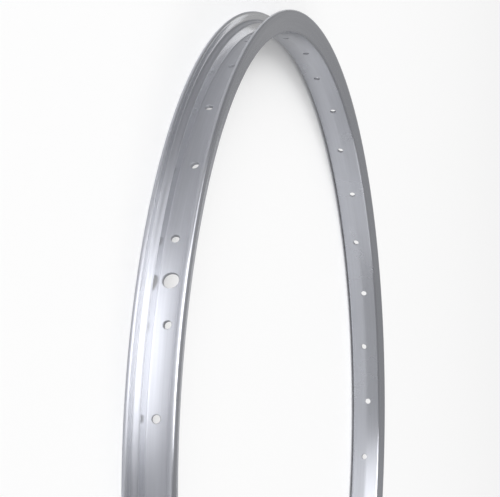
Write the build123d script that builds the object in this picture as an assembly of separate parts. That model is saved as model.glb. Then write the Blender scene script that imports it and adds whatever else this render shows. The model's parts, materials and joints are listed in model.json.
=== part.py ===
from build123d import *
import os
from math import atan2, degrees, radians, tan

# A single-wall aluminium bicycle rim for the 26-inch tyre size, drilled for spokes and a valve.
# It lies flat on its side. The wheel's axis is +Z, the origin is the wheel's centre, and the valve
# hole is on +X. Lengths are in millimetres and angles in degrees.

# The hoop's main sizes
bead_seat_diameter = 559.0  # where the tyre's beads sit
flange_height = 6.0  # from the bead seat out to the lip of the flange
rim_width = 27.0  # outside width, across both lips
rim_depth = 15.2  # from the lips in to the ridge of the spoke bed

# Flanges, which hold the tyre between them
lip_thickness = 3.0  # across the lip, from the hook's nose to the outside
lip_bevel = 0.9
hook_depth = 0.5  # how far the hook's nose leans in over the flange's inner wall
hook_height = 2.6  # from the top of the lip down to where the hook leaves the wall
side_band = 4.0  # height of the flat band on the outside, which the rim rests on and a brake rubs

# Bead shelves and the well between them
seat_slope = 8.0  # fall of the bead shelf towards the well
well_mouth_width = 14.8
well_floor_width = 11.8

# Spoke bed, which faces the hub and has a low ridge along its middle
bed_width = 22.0
bed_crown = 0.9  # how far the ridge stands out from the bed's corners, towards the hub
bed_wall = 2.0  # metal between the well's floor and the bed
corner_bevel = 1.2  # on the corner between the bed and the side

# Spoke holes, staggered to both sides and aimed at the flange of the hub on their own side
spoke_count = 36
spoke_hole_diameter = 4.4
spoke_stagger = 1.1  # from the rim's middle plane
hub_flange_radius = 22.0
hub_flange_offset = 28.0  # from the rim's middle plane

# Valve hole
valve_hole_diameter = 8.5

# Derived sizes: radii are measured from the wheel's axis, heights from the rim's middle plane
seat_radius = bead_seat_diameter / 2
lip_radius = seat_radius + flange_height
ridge_radius = lip_radius - rim_depth
floor_radius = ridge_radius + bed_wall
bed_slope = bed_crown / (bed_width / 2)
lip_height = rim_width / 2
nose_height = lip_height - lip_thickness
wall_height = nose_height + hook_depth
mouth_height = well_mouth_width / 2
floor_height = well_floor_width / 2
shelf_fall = (wall_height - mouth_height) * tan(radians(seat_slope))
spoke_pitch = 360 / spoke_count
spoke_tilt = degrees(atan2(hub_flange_offset - spoke_stagger, floor_radius - hub_flange_radius))
drill_length = 2 * rim_depth  # passes the metal on both sides


def upper_corners():
    """Corners of the section's upper half as (radius, height, bevel), from the well's floor over the
    flange to the spoke bed."""
    return [
        (floor_radius + bed_slope * floor_height, floor_height, 0.0),
        (seat_radius - shelf_fall, mouth_height, 0.0),
        (seat_radius, wall_height, 0.0),
        (lip_radius - hook_height, wall_height, 0.0),
        (lip_radius, nose_height, lip_bevel),
        (lip_radius, lip_height, lip_bevel),
        (lip_radius - side_band, lip_height, 0.0),
        (ridge_radius + bed_crown, bed_width / 2, corner_bevel),
    ]


def bevelled(corners):
    """The points of a closed outline, with two points, one on each leg, for each bevelled corner."""
    points = []
    for index, (radius, height, bevel) in enumerate(corners):
        corner = Vector(radius, height)
        if bevel == 0:
            points.append(corner)
            continue
        for neighbour in (corners[index - 1], corners[(index + 1) % len(corners)]):
            leg = Vector(neighbour[0], neighbour[1]) - corner
            points.append(corner + leg.normalized() * bevel)
    return points


def section():
    """The closed section of the hoop, drawn on the XZ plane at its true radius."""
    upper = upper_corners()
    lower = [(radius, -height, bevel) for radius, height, bevel in reversed(upper)]
    floor_crease = (floor_radius, 0.0, 0.0)
    ridge = (ridge_radius, 0.0, 0.0)
    outline = Polyline(bevelled([floor_crease, *upper, ridge, *lower]), close=True)
    return Plane.XZ * make_face(outline)


def hoop():
    """The rolled hoop before drilling. Its seam lies opposite the valve hole, clear of every hole."""
    return Rot(Z=180) * revolve(section(), axis=Axis.Z)


def drill(diameter):
    """A straight drill along X, centred on its origin."""
    return Rot(Y=90) * Cylinder(diameter / 2, drill_length)


def spoke_drills():
    """One drill for each spoke, alternately above and below the middle plane and tilted to the hub."""
    tool = drill(spoke_hole_diameter)
    drills = []
    for index in range(spoke_count):
        side = 1 if index % 2 == 0 else -1
        around = Rot(Z=(index + 0.5) * spoke_pitch)
        drills.append(around * Pos(floor_radius, 0, side * spoke_stagger) * Rot(Y=side * spoke_tilt) * tool)
    return drills


def valve_drill():
    """The drill for the valve, on the middle plane, halfway between two spokes."""
    return Pos(X=floor_radius) * drill(valve_hole_diameter)


def rim():
    """The finished rim, one solid."""
    return hoop() - [*spoke_drills(), valve_drill()]


os.makedirs("parts", exist_ok=True)
export_step(rim(), "parts/rim.step")
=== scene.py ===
import json
import logging
import math
from dataclasses import dataclass, replace
from enum import Enum

import bmesh
import bpy
from bmesh.types import BMesh
from mathutils import Matrix, Quaternion, Vector


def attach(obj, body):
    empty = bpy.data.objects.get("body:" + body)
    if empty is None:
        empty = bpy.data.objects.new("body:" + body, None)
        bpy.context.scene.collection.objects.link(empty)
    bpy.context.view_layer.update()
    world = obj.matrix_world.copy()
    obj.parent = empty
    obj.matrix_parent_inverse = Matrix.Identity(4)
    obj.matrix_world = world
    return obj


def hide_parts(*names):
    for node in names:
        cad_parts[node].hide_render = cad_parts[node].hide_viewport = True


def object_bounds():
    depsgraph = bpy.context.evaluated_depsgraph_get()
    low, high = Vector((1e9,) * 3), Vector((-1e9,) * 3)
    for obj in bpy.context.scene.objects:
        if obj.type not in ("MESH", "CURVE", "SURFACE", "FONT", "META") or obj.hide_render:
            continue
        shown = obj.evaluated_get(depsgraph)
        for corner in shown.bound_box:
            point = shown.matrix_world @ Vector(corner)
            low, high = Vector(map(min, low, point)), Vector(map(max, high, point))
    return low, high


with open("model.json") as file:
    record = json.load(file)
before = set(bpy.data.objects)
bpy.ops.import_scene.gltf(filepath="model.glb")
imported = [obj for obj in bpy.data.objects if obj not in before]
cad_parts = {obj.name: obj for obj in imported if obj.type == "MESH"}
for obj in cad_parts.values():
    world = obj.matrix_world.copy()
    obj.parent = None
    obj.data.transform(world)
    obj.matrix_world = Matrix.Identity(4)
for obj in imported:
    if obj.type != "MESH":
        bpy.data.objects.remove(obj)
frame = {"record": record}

# A single-wall aluminium bicycle rim that lies flat on its side. The wheel's axis is +Z and the valve
# hole is on +X. Lengths are in metres, most of them written as millimetres times MM, and angles are in
# degrees.

MM = 0.001
LOG = logging.getLogger("rim")
CAD_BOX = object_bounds()
CENTRE = (0.0, 0.0, 0.0)
X_AXIS = (1.0, 0.0, 0.0)
Z_AXIS = (0.0, 0.0, 1.0)
WHITE = (1.0, 1.0, 1.0, 1.0)
ACROSS_LINES = 0.25  # a quarter turn from the direction along the hoop


class Lean(Enum):
    """The side of the rim's middle plane that a spoke hole stands on and is aimed at."""

    UPPER = 1
    LOWER = -1


class HoopSlot(Enum):
    """The material slots of the hoop's mesh."""

    OUTSIDE = 0
    CHANNEL = 1
    DRILLING = 2


class Nodes:
    """Adds nodes to one node tree and links them."""

    def __init__(self, tree: bpy.types.NodeTree) -> None:
        """Keeps the tree that the nodes go into."""
        self.tree = tree

    def add(self, kind: str, **settings: object) -> bpy.types.Node:
        """Adds a node.

        Args:
            kind: Blender's name for the node's type.
            settings: Properties of the node and their values.

        Returns:
            The new node.
        """
        node = self.tree.nodes.new(kind)
        for name, value in settings.items():
            setattr(node, name, value)
        return node

    def link(self, source: bpy.types.NodeSocket, target: bpy.types.NodeSocket) -> None:
        """Links an output socket to an input socket."""
        self.tree.links.new(source, target)

    def math(
        self,
        operation: str,
        first: bpy.types.NodeSocket,
        second: bpy.types.NodeSocket | float = 0.0,
    ) -> bpy.types.NodeSocket:
        """Adds a Math node.

        Args:
            operation: The node's operation.
            first: The socket for its first input.
            second: The socket or the number for its second input.

        Returns:
            The node's output.
        """
        node = self.add("ShaderNodeMath", operation=operation)
        self.link(first, node.inputs[0])
        if isinstance(second, bpy.types.NodeSocket):
            self.link(second, node.inputs[1])
        else:
            node.inputs[1].default_value = second
        return node.outputs[0]

    def spread(self, value: bpy.types.NodeSocket, low: float, high: float) -> bpy.types.NodeSocket:
        """Adds a Map Range node that spreads a mask over a range.

        Args:
            value: A mask from 0 to 1.
            low: The result where the mask is 0.
            high: The result where the mask is 1.

        Returns:
            The spread value.
        """
        node = self.add("ShaderNodeMapRange")
        self.link(value, node.inputs["Value"])
        node.inputs["To Min"].default_value = low
        node.inputs["To Max"].default_value = high
        return node.outputs["Result"]

    def noise(self, place: bpy.types.NodeSocket, scale: float, detail: float) -> bpy.types.NodeSocket:
        """Adds a Noise Texture node.

        Args:
            place: The coordinates that the noise is read at.
            scale: How fast the noise changes.
            detail: How many finer layers it has.

        Returns:
            The noise, as a mask.
        """
        node = self.add("ShaderNodeTexNoise")
        self.link(place, node.inputs["Vector"])
        node.inputs["Scale"].default_value = scale
        node.inputs["Detail"].default_value = detail
        return node.outputs["Fac"]


@dataclass(frozen=True)
class DrawnGrain:
    """The fine lines that drawing and polishing leave along the hoop, as a shader node group."""

    name: str = "drawn_grain"
    stretch: float = 6.0  # how fast a line changes along the hoop, for each radian
    line_scale: float = 1.0  # on top of the group's Fineness input
    line_detail: float = 5.0
    cloud_scale: float = 26.0  # soft patches, for each metre
    cloud_detail: float = 6.0

    def group(self) -> bpy.types.NodeTree:
        """Builds the group once.

        Returns:
            The group, with a Vector and a Fineness input and with Lines and Cloud outputs.
        """
        if self.name in bpy.data.node_groups:
            return bpy.data.node_groups[self.name]
        tree = bpy.data.node_groups.new(self.name, "ShaderNodeTree")
        tree.interface.new_socket("Vector", in_out="INPUT", socket_type="NodeSocketVector")
        tree.interface.new_socket("Fineness", in_out="INPUT", socket_type="NodeSocketFloat")
        tree.interface.new_socket("Lines", in_out="OUTPUT", socket_type="NodeSocketFloat")
        tree.interface.new_socket("Cloud", in_out="OUTPUT", socket_type="NodeSocketFloat")
        nodes = Nodes(tree)
        given = nodes.add("NodeGroupInput")
        place = given.outputs["Vector"]
        along = self.along_hoop(nodes, place, given.outputs["Fineness"])
        result = nodes.add("NodeGroupOutput")
        nodes.link(nodes.noise(along, self.line_scale, self.line_detail), result.inputs["Lines"])
        nodes.link(nodes.noise(place, self.cloud_scale, self.cloud_detail), result.inputs["Cloud"])
        return tree

    def along_hoop(
        self, nodes: Nodes, place: bpy.types.NodeSocket, fineness: bpy.types.NodeSocket
    ) -> bpy.types.NodeSocket:
        """Turns a place on the rim into coordinates that follow the hoop.

        Args:
            nodes: The group's nodes.
            place: The place, in the rim's own frame.
            fineness: Lines for each metre across the hoop.

        Returns:
            The radius and the height times the fineness, and the stretched angle.
        """
        axes = nodes.add("ShaderNodeSeparateXYZ")
        nodes.link(place, axes.inputs["Vector"])
        x, y, z = axes.outputs
        squares = nodes.math("ADD", nodes.math("MULTIPLY", x, x), nodes.math("MULTIPLY", y, y))
        radius = nodes.math("SQRT", squares)
        angle = nodes.math("ARCTAN2", y, x)
        along = nodes.add("ShaderNodeCombineXYZ")
        nodes.link(nodes.math("MULTIPLY", radius, fineness), along.inputs["X"])
        nodes.link(nodes.math("MULTIPLY", z, fineness), along.inputs["Y"])
        nodes.link(nodes.math("MULTIPLY", angle, self.stretch), along.inputs["Z"])
        return along.outputs["Vector"]


@dataclass(frozen=True)
class Aluminium:
    """A finish of the rim's bare metal, with its own roughness on the section's walls and a wall colour
    that is a painted sheen wherever it is brighter than the faces'.
    """

    name: str
    face_colour: tuple[float, float, float]  # on faces that look out or in
    wall_colour_and_painted_sheen: tuple[float, float, float]  # on the walls and sides of the section; where brighter than the face colour, a painted sheen on the same metal
    face_roughness: float
    wall_roughness: float
    unevenness: float  # how far soft patches change the roughness
    line_shade: float  # how much darker the lines are, from 0 to 1
    line_depth: float  # height of the lines' relief
    fineness: float  # lines for each metre across the hoop
    drawn: float  # how far highlights are drawn out across the lines, from 0 to 1
    wall_start: float = 0.82  # upright share of the surface's direction where a wall starts
    wall_end: float = 0.95  # upright share where it is all wall

    def material(self) -> bpy.types.Material:
        """Builds the material.

        Returns:
            The material, with its grain on Object coordinates.
        """
        material = bpy.data.materials.new(self.name)
        material.use_nodes = True
        material.node_tree.nodes.clear()
        nodes = Nodes(material.node_tree)
        place = nodes.add("ShaderNodeTexCoord")
        grain = nodes.add("ShaderNodeGroup", node_tree=DrawnGrain().group())
        grain.inputs["Fineness"].default_value = self.fineness
        nodes.link(place.outputs["Object"], grain.inputs["Vector"])
        wall = self.wall_mask(nodes, place.outputs["Normal"])
        relief = nodes.add("ShaderNodeBump")
        relief.inputs["Distance"].default_value = self.line_depth
        nodes.link(grain.outputs["Lines"], relief.inputs["Height"])
        shader = nodes.add("ShaderNodeBsdfPrincipled")
        shader.inputs["Metallic"].default_value = 1.0
        shader.inputs["Anisotropic"].default_value = self.drawn
        shader.inputs["Anisotropic Rotation"].default_value = ACROSS_LINES
        nodes.link(self.colour(nodes, wall, grain.outputs["Lines"]), shader.inputs["Base Color"])
        nodes.link(self.roughness(nodes, wall, grain.outputs["Cloud"]), shader.inputs["Roughness"])
        nodes.link(relief.outputs["Normal"], shader.inputs["Normal"])
        output = nodes.add("ShaderNodeOutputMaterial")
        nodes.link(shader.outputs["BSDF"], output.inputs["Surface"])
        return material

    def wall_mask(self, nodes: Nodes, direction: bpy.types.NodeSocket) -> bpy.types.NodeSocket:
        """Tells the section's walls and sides from its faces.

        Args:
            nodes: The material's nodes.
            direction: The direction that the surface looks in.

        Returns:
            A mask that is 1 on walls and sides.
        """
        facing = nodes.add("ShaderNodeSeparateXYZ")
        nodes.link(direction, facing.inputs["Vector"])
        mask = nodes.add("ShaderNodeMapRange", interpolation_type="SMOOTHSTEP")
        nodes.link(nodes.math("ABSOLUTE", facing.outputs["Z"]), mask.inputs["Value"])
        mask.inputs["From Min"].default_value = self.wall_start
        mask.inputs["From Max"].default_value = self.wall_end
        return mask.outputs["Result"]

    def colour(
        self, nodes: Nodes, wall: bpy.types.NodeSocket, lines: bpy.types.NodeSocket
    ) -> bpy.types.NodeSocket:
        """Colours faces and walls, the walls with their painted sheen, with darker lines on both.

        Args:
            nodes: The material's nodes.
            wall: The mask of the walls.
            lines: The mask of the lines.

        Returns:
            The colour.
        """
        # The walls take the wall colour, which paints a sheen on them where it is brighter than the
        # faces'.
        metal_and_painted_sheen = nodes.add("ShaderNodeMix", data_type="RGBA")
        metal_and_painted_sheen.inputs["A"].default_value = (*self.face_colour, 1.0)
        metal_and_painted_sheen.inputs["B"].default_value = (*self.wall_colour_and_painted_sheen, 1.0)
        nodes.link(wall, metal_and_painted_sheen.inputs["Factor"])
        shade = 1.0 - self.line_shade
        lined = nodes.add("ShaderNodeMix", data_type="RGBA", blend_type="MULTIPLY")
        lined.inputs["B"].default_value = (shade, shade, shade, 1.0)
        nodes.link(metal_and_painted_sheen.outputs["Result"], lined.inputs["A"])
        nodes.link(lines, lined.inputs["Factor"])
        return lined.outputs["Result"]

    def roughness(
        self, nodes: Nodes, wall: bpy.types.NodeSocket, cloud: bpy.types.NodeSocket
    ) -> bpy.types.NodeSocket:
        """Gives faces and walls their roughness, with soft patches on both.

        Args:
            nodes: The material's nodes.
            wall: The mask of the walls.
            cloud: The mask of the soft patches.

        Returns:
            The roughness.
        """
        across = nodes.spread(wall, self.face_roughness, self.wall_roughness)
        return nodes.math("ADD", across, nodes.spread(cloud, -self.unevenness, self.unevenness))


POLISHED_OUTSIDE = Aluminium(
    name="polished_aluminium",
    face_colour=(0.5, 0.511, 0.552),
    # The sides are a little brighter than the faces: painted sheen on the same metal.
    wall_colour_and_painted_sheen=(0.58, 0.593, 0.64),
    face_roughness=0.28,
    wall_roughness=0.24,
    unevenness=0.03,
    line_shade=0.14,
    line_depth=0.002 * MM,
    fineness=900.0,
    drawn=0.9,
)
DRAWN_CHANNEL = replace(
    POLISHED_OUTSIDE,
    name="drawn_aluminium",
    face_colour=(0.525, 0.536, 0.58),
    # The walls' much brighter colour is a painted sheen that stands in for light: they are the same
    # metal as the faces.
    wall_colour_and_painted_sheen=(0.92, 0.925, 0.945),
    face_roughness=0.46,
    wall_roughness=0.19,
)
DRILLED_HOLES = Aluminium(
    name="drilled_aluminium",
    face_colour=(0.5, 0.51, 0.54),
    wall_colour_and_painted_sheen=(0.5, 0.51, 0.54),
    face_roughness=0.72,
    wall_roughness=0.72,
    unevenness=0.05,
    line_shade=0.2,
    line_depth=0.003 * MM,
    fineness=6000.0,
    drawn=0.0,
)


@dataclass(frozen=True)
class Rounding:
    """How one kind of corner of the hoop's section is rounded."""

    setback: float  # how far along the corner's legs the rounding starts
    facets: int


@dataclass(frozen=True)
class Corner:
    """One corner of the hoop's section."""

    radius: float  # from the wheel's axis
    height: float  # from the rim's middle plane
    rounding: Rounding

    def mirrored(self) -> "Corner":
        """The same corner on the other side of the middle plane."""
        return replace(self, height=-self.height)


@dataclass
class RimHoop:
    """The rolled and drilled hoop, with the corners of its section rounded."""

    seat_radius: float
    spoke_count: int
    spoke_radius: float
    valve_radius: float
    flange_height: float = 6.0 * MM
    rim_width: float = 27.0 * MM
    rim_depth: float = 15.2 * MM
    lip_thickness: float = 3.0 * MM
    hook_depth: float = 0.5 * MM
    hook_height: float = 2.6 * MM
    side_band: float = 4.0 * MM
    seat_slope: float = 8.0
    well_mouth_width: float = 14.8 * MM
    well_floor_width: float = 11.8 * MM
    bed_width: float = 22.0 * MM
    bed_crown: float = 0.9 * MM
    bed_wall: float = 2.0 * MM
    foot_rounding: Rounding = Rounding(setback=0.9 * MM, facets=6)
    mouth_rounding: Rounding = Rounding(setback=1.5 * MM, facets=8)
    seat_rounding: Rounding = Rounding(setback=1.8 * MM, facets=8)
    hook_rounding: Rounding = Rounding(setback=0.4 * MM, facets=3)
    lip_rounding: Rounding = Rounding(setback=1.45 * MM, facets=7)
    band_rounding: Rounding = Rounding(setback=0.9 * MM, facets=4)
    bed_rounding: Rounding = Rounding(setback=1.3 * MM, facets=7)
    crease_rounding: Rounding = Rounding(setback=1.3 * MM, facets=4)
    spoke_stagger: float = 1.1 * MM
    hub_flange_radius: float = 22.0 * MM
    hub_flange_offset: float = 28.0 * MM
    countersink: float = 0.12 * MM
    deburr: float = 0.12 * MM
    flare: float = 0.24 * MM  # how far a drill's cones run on past the surface
    turns: int = 576  # facets round the hoop
    drill_sides: int = 40
    sharp_angle: float = 32.0  # from here on an edge stays hard
    weld_distance: float = 0.001 * MM

    @classmethod
    def from_record(cls, record: dict) -> "RimHoop":
        """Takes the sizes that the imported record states.

        Args:
            record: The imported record.

        Returns:
            The hoop, with its remaining sizes as written here.
        """
        dims = {mount["name"]: mount["dims"] for mount in record["mounts"]}
        return cls(
            seat_radius=dims["bead_seat"]["r_mm"] * MM,
            spoke_count=dims["spoke_holes"]["count"],
            spoke_radius=dims["spoke_holes"]["hole_r_mm"] * MM,
            valve_radius=dims["valve_hole"]["r_mm"] * MM,
        )

    @property
    def lip_radius(self) -> float:
        """Radius of the flanges' lips."""
        return self.seat_radius + self.flange_height

    @property
    def ridge_radius(self) -> float:
        """Radius of the spoke bed's ridge."""
        return self.lip_radius - self.rim_depth

    @property
    def floor_radius(self) -> float:
        """Radius of the crease in the well's floor."""
        return self.ridge_radius + self.bed_wall

    def upper_corners(self) -> list[Corner]:
        """Lists the corners of the section's upper half.

        Returns:
            The corners from the well's floor over the flange to the spoke bed.
        """
        lip_height = self.rim_width / 2
        nose_height = lip_height - self.lip_thickness
        wall_height = nose_height + self.hook_depth
        mouth_height = self.well_mouth_width / 2
        floor_height = self.well_floor_width / 2
        bed_height = self.bed_width / 2
        floor_rise = floor_height * self.bed_crown / bed_height
        shelf_fall = (wall_height - mouth_height) * math.tan(math.radians(self.seat_slope))
        lip, seat = self.lip_radius, self.seat_radius
        return [
            Corner(self.floor_radius + floor_rise, floor_height, self.foot_rounding),
            Corner(seat - shelf_fall, mouth_height, self.mouth_rounding),
            Corner(seat, wall_height, self.seat_rounding),
            Corner(lip - self.hook_height, wall_height, self.hook_rounding),
            Corner(lip, nose_height, self.lip_rounding),
            Corner(lip, lip_height, self.lip_rounding),
            Corner(lip - self.side_band, lip_height, self.band_rounding),
            Corner(self.ridge_radius + self.bed_crown, bed_height, self.bed_rounding),
        ]

    def section(self) -> BMesh:
        """Draws the hoop's section as a closed loop of edges with rounded corners.

        Returns:
            A bmesh that holds the loop, on the XZ plane at its true radius.
        """
        upper = self.upper_corners()
        crease = Corner(self.floor_radius, 0.0, self.crease_rounding)
        ridge = Corner(self.ridge_radius, 0.0, self.crease_rounding)
        lower = [corner.mirrored() for corner in reversed(upper)]
        corners = [crease, *upper, ridge, *lower]
        bm = bmesh.new()
        points = [bm.verts.new((corner.radius, 0.0, corner.height)) for corner in corners]
        bm.faces.new(points)
        for corner, point in zip(corners, points):
            bmesh.ops.bevel(
                bm,
                geom=[point],
                offset=corner.rounding.setback,
                offset_type="OFFSET",
                affect="VERTICES",
                segments=corner.rounding.facets,
                profile=0.5,
                material=-1,
            )
        bmesh.ops.delete(bm, geom=bm.faces[:], context="FACES_ONLY")
        return bm

    def roll(self) -> bpy.types.Mesh:
        """Spins the section round the wheel's axis.

        Returns:
            The mesh of the closed hoop before drilling.
        """
        bm = self.section()
        bmesh.ops.spin(
            bm,
            geom=bm.verts[:] + bm.edges[:],
            cent=CENTRE,
            axis=Z_AXIS,
            angle=math.tau,
            steps=self.turns,
            use_merge=True,
        )
        mesh = self.closed_mesh(bm, "hoop_before_drilling")
        self.mark_channel(mesh)
        return mesh

    def mark_channel(self, mesh: bpy.types.Mesh) -> None:
        """Gives the faces that look into the channel between the lips their own slot.

        Args:
            mesh: The closed hoop.
        """
        for face in mesh.polygons:
            mouth = Vector((face.center.x, face.center.y, 0.0)).normalized() * self.lip_radius
            if face.normal.dot(mouth - face.center) > self.weld_distance:
                face.material_index = HoopSlot.CHANNEL.value

    def closed_mesh(self, bm: BMesh, name: str) -> bpy.types.Mesh:
        """Welds a spun shape, turns its faces outwards and frees the bmesh.

        Args:
            bm: The spun shape.
            name: The new mesh's name.

        Returns:
            The closed mesh.
        """
        bmesh.ops.remove_doubles(bm, verts=bm.verts[:], dist=self.weld_distance)
        bmesh.ops.recalc_face_normals(bm, faces=bm.faces[:])
        mesh = bpy.data.meshes.new(name)
        bm.to_mesh(mesh)
        bm.free()
        return mesh

    def drill(self, radius: float) -> bpy.types.Mesh:
        """Turns a drill along X that countersinks the well's floor and deburrs the spoke bed.

        Args:
            radius: The hole's radius.

        Returns:
            The drill's mesh, with its origin where the hole's axis meets the well's floor.
        """
        reach = self.rim_depth
        floor_end = radius + self.countersink + self.flare
        bed_end = radius + self.deburr + self.flare
        outline = [
            (-reach, 0.0),
            (-reach, bed_end),
            (-self.bed_wall - self.flare, bed_end),
            (-self.bed_wall + self.deburr, radius),
            (-self.countersink, radius),
            (self.flare, floor_end),
            (reach, floor_end),
            (reach, 0.0),
        ]
        bm = bmesh.new()
        points = [bm.verts.new((along, 0.0, away)) for along, away in outline]
        edges = [bm.edges.new(pair) for pair in zip(points, points[1:])]
        bmesh.ops.spin(
            bm,
            geom=points + edges,
            cent=CENTRE,
            axis=X_AXIS,
            angle=math.tau,
            steps=self.drill_sides,
            use_merge=True,
        )
        return self.closed_mesh(bm, "drill")

    def spoke_places(self) -> list[Matrix]:
        """Works out where each spoke's drill goes.

        Returns:
            One placing for each spoke, alternately above and below the middle plane.
        """
        pitch = math.tau / self.spoke_count
        first = pitch / 2  # the valve hole is midway between two spokes
        tilt = math.atan2(
            self.hub_flange_offset - self.spoke_stagger,
            self.floor_radius - self.hub_flange_radius,
        )
        places = []
        for index in range(self.spoke_count):
            lean = Lean.UPPER if index % 2 == 0 else Lean.LOWER
            around = Matrix.Rotation(first + index * pitch, 4, "Z")
            out = Matrix.Translation((self.floor_radius, 0.0, lean.value * self.spoke_stagger))
            places.append(around @ out @ Matrix.Rotation(lean.value * tilt, 4, "Y"))
        return places

    def drilling(self) -> bpy.types.Object:
        """Sets all the drills in their places.

        Returns:
            One object that holds every drill.
        """
        spoke, valve = self.drill(self.spoke_radius), self.drill(self.valve_radius)
        placed = [(spoke, place) for place in self.spoke_places()]
        placed.append((valve, Matrix.Translation((self.floor_radius, 0.0, 0.0))))
        bm = bmesh.new()
        for mesh, place in placed:
            held = set(bm.verts)
            bm.from_mesh(mesh)
            bmesh.ops.transform(bm, matrix=place, verts=[v for v in bm.verts if v not in held])
        for face in bm.faces:
            face.material_index = HoopSlot.DRILLING.value
        mesh = self.closed_mesh(bm, "drills")
        bpy.data.meshes.remove(spoke)
        bpy.data.meshes.remove(valve)
        drills = bpy.data.objects.new("drills", mesh)
        bpy.context.collection.objects.link(drills)
        return drills

    def build(self) -> bpy.types.Object:
        """Rolls the hoop, drills it and shades it.

        Returns:
            The finished hoop.
        """
        hoop = bpy.data.objects.new("rim_hoop", self.roll())
        bpy.context.collection.objects.link(hoop)
        for finish in (POLISHED_OUTSIDE, DRAWN_CHANNEL, DRILLED_HOLES):
            hoop.data.materials.append(finish.material())
        drills = self.drilling()
        for material in hoop.data.materials:
            drills.data.materials.append(material)
        cut = hoop.modifiers.new("drilling", "BOOLEAN")
        cut.operation = "DIFFERENCE"
        cut.solver = "EXACT"
        cut.object = drills
        self.apply_modifiers(hoop)
        bpy.data.objects.remove(drills)
        self.shade(hoop)
        return hoop

    def apply_modifiers(self, piece: bpy.types.Object) -> None:
        """Applies a piece's modifiers to its mesh.

        Args:
            piece: The piece, which is left with no modifier.
        """
        depsgraph = bpy.context.evaluated_depsgraph_get()
        mesh = bpy.data.meshes.new_from_object(piece.evaluated_get(depsgraph), depsgraph=depsgraph)
        piece.modifiers.clear()
        piece.data = mesh

    def shade(self, hoop: bpy.types.Object) -> None:
        """Makes rounded stretches smooth, keeps hard edges and lets flat faces stay flat.

        Args:
            hoop: The drilled hoop.
        """
        bm = bmesh.new()
        bm.from_mesh(hoop.data)
        for face in bm.faces:
            face.smooth = True
        for edge in bm.edges:
            edge.smooth = edge.calc_face_angle(0.0) < math.radians(self.sharp_angle)
        bm.to_mesh(hoop.data)
        bm.free()
        weight = hoop.modifiers.new("flat_faces", "WEIGHTED_NORMAL")
        weight.keep_sharp = True
        self.apply_modifiers(hoop)

    def dress(self, hoop: bpy.types.Object) -> None:
        """Sets the hoop in the frame in place of the plain solid.

        Args:
            hoop: The finished hoop.
        """
        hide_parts("rim")
        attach(hoop, "root")


@dataclass
class StudioFloor:
    """The plain pale floor that the rim lies on."""

    half_size: float = 14.0
    squares: int = 4  # along each side
    colour: tuple[float, float, float] = (0.95, 0.95, 0.95)
    roughness: float = 0.9
    lift: float = 0.05  # added white, for the camera and for reflections

    def build(self, level: float) -> bpy.types.Object:
        """Lays the floor.

        Args:
            level: The floor's height.

        Returns:
            The floor.
        """
        bm = bmesh.new()
        bmesh.ops.create_grid(
            bm, x_segments=self.squares, y_segments=self.squares, size=self.half_size
        )
        bmesh.ops.translate(bm, verts=bm.verts[:], vec=(0.0, 0.0, level))
        mesh = bpy.data.meshes.new("studio_floor")
        bm.to_mesh(mesh)
        bm.free()
        mesh.materials.append(self.material())
        floor = bpy.data.objects.new("studio_floor", mesh)
        bpy.context.collection.objects.link(floor)
        return floor

    def material(self) -> bpy.types.Material:
        """Makes the floor's matt material.

        Returns:
            The material.
        """
        material = bpy.data.materials.new("studio_floor")
        material.use_nodes = True
        shader = material.node_tree.nodes["Principled BSDF"]
        shader.inputs["Base Color"].default_value = (*self.colour, 1.0)
        shader.inputs["Roughness"].default_value = self.roughness
        shader.inputs["Specular IOR Level"].default_value = 0.0
        shader.inputs["Emission Color"].default_value = WHITE
        nodes = Nodes(material.node_tree)
        path = nodes.add("ShaderNodeLightPath").outputs
        seen = nodes.math("MAXIMUM", path["Is Camera Ray"], path["Is Glossy Ray"])
        seen = nodes.math("MAXIMUM", seen, path["Is Transmission Ray"])
        nodes.link(nodes.math("MULTIPLY", seen, self.lift), shader.inputs["Emission Strength"])
        return material


def bearing(azimuth: float, elevation: float = 0.0) -> Vector:
    """Works out a direction from the wheel's centre.

    Args:
        azimuth: The angle round the wheel's axis, from +X towards +Y.
        elevation: The angle above the rim's middle plane.

    Returns:
        The direction, with a length of 1.
    """
    turn, rise = math.radians(azimuth), math.radians(elevation)
    level = math.cos(rise)
    return Vector((math.cos(turn) * level, math.sin(turn) * level, math.sin(rise)))


def look_along(viewer: bpy.types.Object, direction: Vector, roll: float = 0.0) -> None:
    """Turns a lamp or a camera to look along a direction.

    Args:
        viewer: The lamp or the camera.
        direction: The direction to look along.
        roll: How far it is turned about that direction.
    """
    upright = direction.to_track_quat("-Z", "Y")
    viewer.rotation_mode = "QUATERNION"
    viewer.rotation_quaternion = upright @ Quaternion(Z_AXIS, math.radians(roll))


@dataclass(frozen=True)
class SoftBox:
    """A soft rectangular lamp."""

    name: str
    azimuth: float  # round the wheel's axis, from +X towards +Y
    distance: float  # from the wheel's axis
    height: float  # of the lamp's middle above the rim's middle plane
    width: float
    tall: float
    radiance: float

    def build(self, aim: Vector) -> bpy.types.Object:
        """Stands the lamp in the studio.

        Args:
            aim: The point that the lamp faces.

        Returns:
            The lamp.
        """
        light = bpy.data.lights.new(self.name, "AREA")
        light.shape = "RECTANGLE"
        light.size = self.width
        light.size_y = self.tall
        light.energy = self.radiance * math.pi * self.width * self.tall
        lamp = bpy.data.objects.new(self.name, light)
        lamp.location = bearing(self.azimuth) * self.distance + Vector((0.0, 0.0, self.height))
        look_along(lamp, aim - lamp.location)
        bpy.context.collection.objects.link(lamp)
        return lamp


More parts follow.
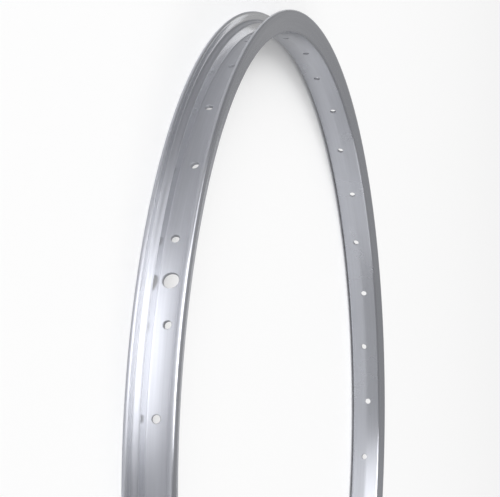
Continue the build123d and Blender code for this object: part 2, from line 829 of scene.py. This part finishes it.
@dataclass
class StudioLight:
    """Plain soft light: a large key light, a grey surround and two soft boxes."""

    key_azimuth: float = -6.0
    key_elevation: float = 30.0
    key_strength: float = 2.45
    key_spread: float = 46.0
    surround: float = 0.39
    boxes: tuple[SoftBox, ...] = (
        SoftBox("side_box", azimuth=106.0, distance=3.4, height=1.7, width=3.4, tall=1.4, radiance=1.6),
        SoftBox("left_box", azimuth=-46.0, distance=2.4, height=2.7, width=1.6, tall=1.6, radiance=2.8),
    )

    def build(self, aim: Vector) -> None:
        """Sets up the lamps and the surround.

        Args:
            aim: The point that the soft boxes face.
        """
        light = bpy.data.lights.new("key_light", "SUN")
        light.energy = self.key_strength
        light.angle = math.radians(self.key_spread)
        lamp = bpy.data.objects.new("key_light", light)
        look_along(lamp, -bearing(self.key_azimuth, self.key_elevation))
        bpy.context.collection.objects.link(lamp)
        for box in self.boxes:
            box.build(aim)
        self.surround_world()

    def surround_world(self) -> None:
        """Gives the world one even grey."""
        world = bpy.data.worlds.new("studio_surround")
        world.use_nodes = True
        background = world.node_tree.nodes["Background"]
        background.inputs["Color"].default_value = (self.surround, self.surround, self.surround, 1.0)
        background.inputs["Strength"].default_value = 1.0
        bpy.context.scene.world = world


@dataclass
class PhotoCamera:
    """The camera at the photograph's viewing angle, turned on its side."""

    place: tuple[float, float, float] = (901.3 * MM, 276.2 * MM, 232.5 * MM)
    aim: tuple[float, float, float] = (34.7 * MM, -83.5 * MM, -28.4 * MM)
    roll: float = 90.25
    lens: float = 103.38  # in millimetres, as Blender has it
    sensor: float = 36.0  # in millimetres too
    shift_y: float = 0.12
    clip_start: float = 10.0 * MM

    def build(self) -> bpy.types.Object:
        """Sets up the camera and makes it the scene's.

        Returns:
            The camera.
        """
        data = bpy.data.cameras.new("photo_camera")
        data.lens = self.lens
        data.sensor_width = self.sensor
        data.shift_y = self.shift_y
        data.clip_start = self.clip_start
        camera = bpy.data.objects.new("photo_camera", data)
        camera.location = self.place
        look_along(camera, Vector(self.aim) - Vector(self.place), self.roll)
        bpy.context.collection.objects.link(camera)
        bpy.context.scene.camera = camera
        return camera


def main() -> None:
    """Builds the rim, the floor, the light and the camera."""
    logging.basicConfig(level=logging.INFO, format="%(message)s")
    bpy.context.scene.view_settings.view_transform = "Standard"
    rim = RimHoop.from_record(frame["record"])
    hoop = rim.build()
    rim.dress(hoop)
    LOG.info("rim_hoop: %d faces", len(hoop.data.polygons))
    floor_level = CAD_BOX[0].z
    StudioFloor().build(floor_level)
    LOG.info("studio_floor at %.1f mm", floor_level / MM)
    StudioLight().build(Vector((rim.lip_radius, 0.0, 0.0)))
    PhotoCamera().build()
    LOG.info("light and camera")


if __name__ == "__main__":
    main()
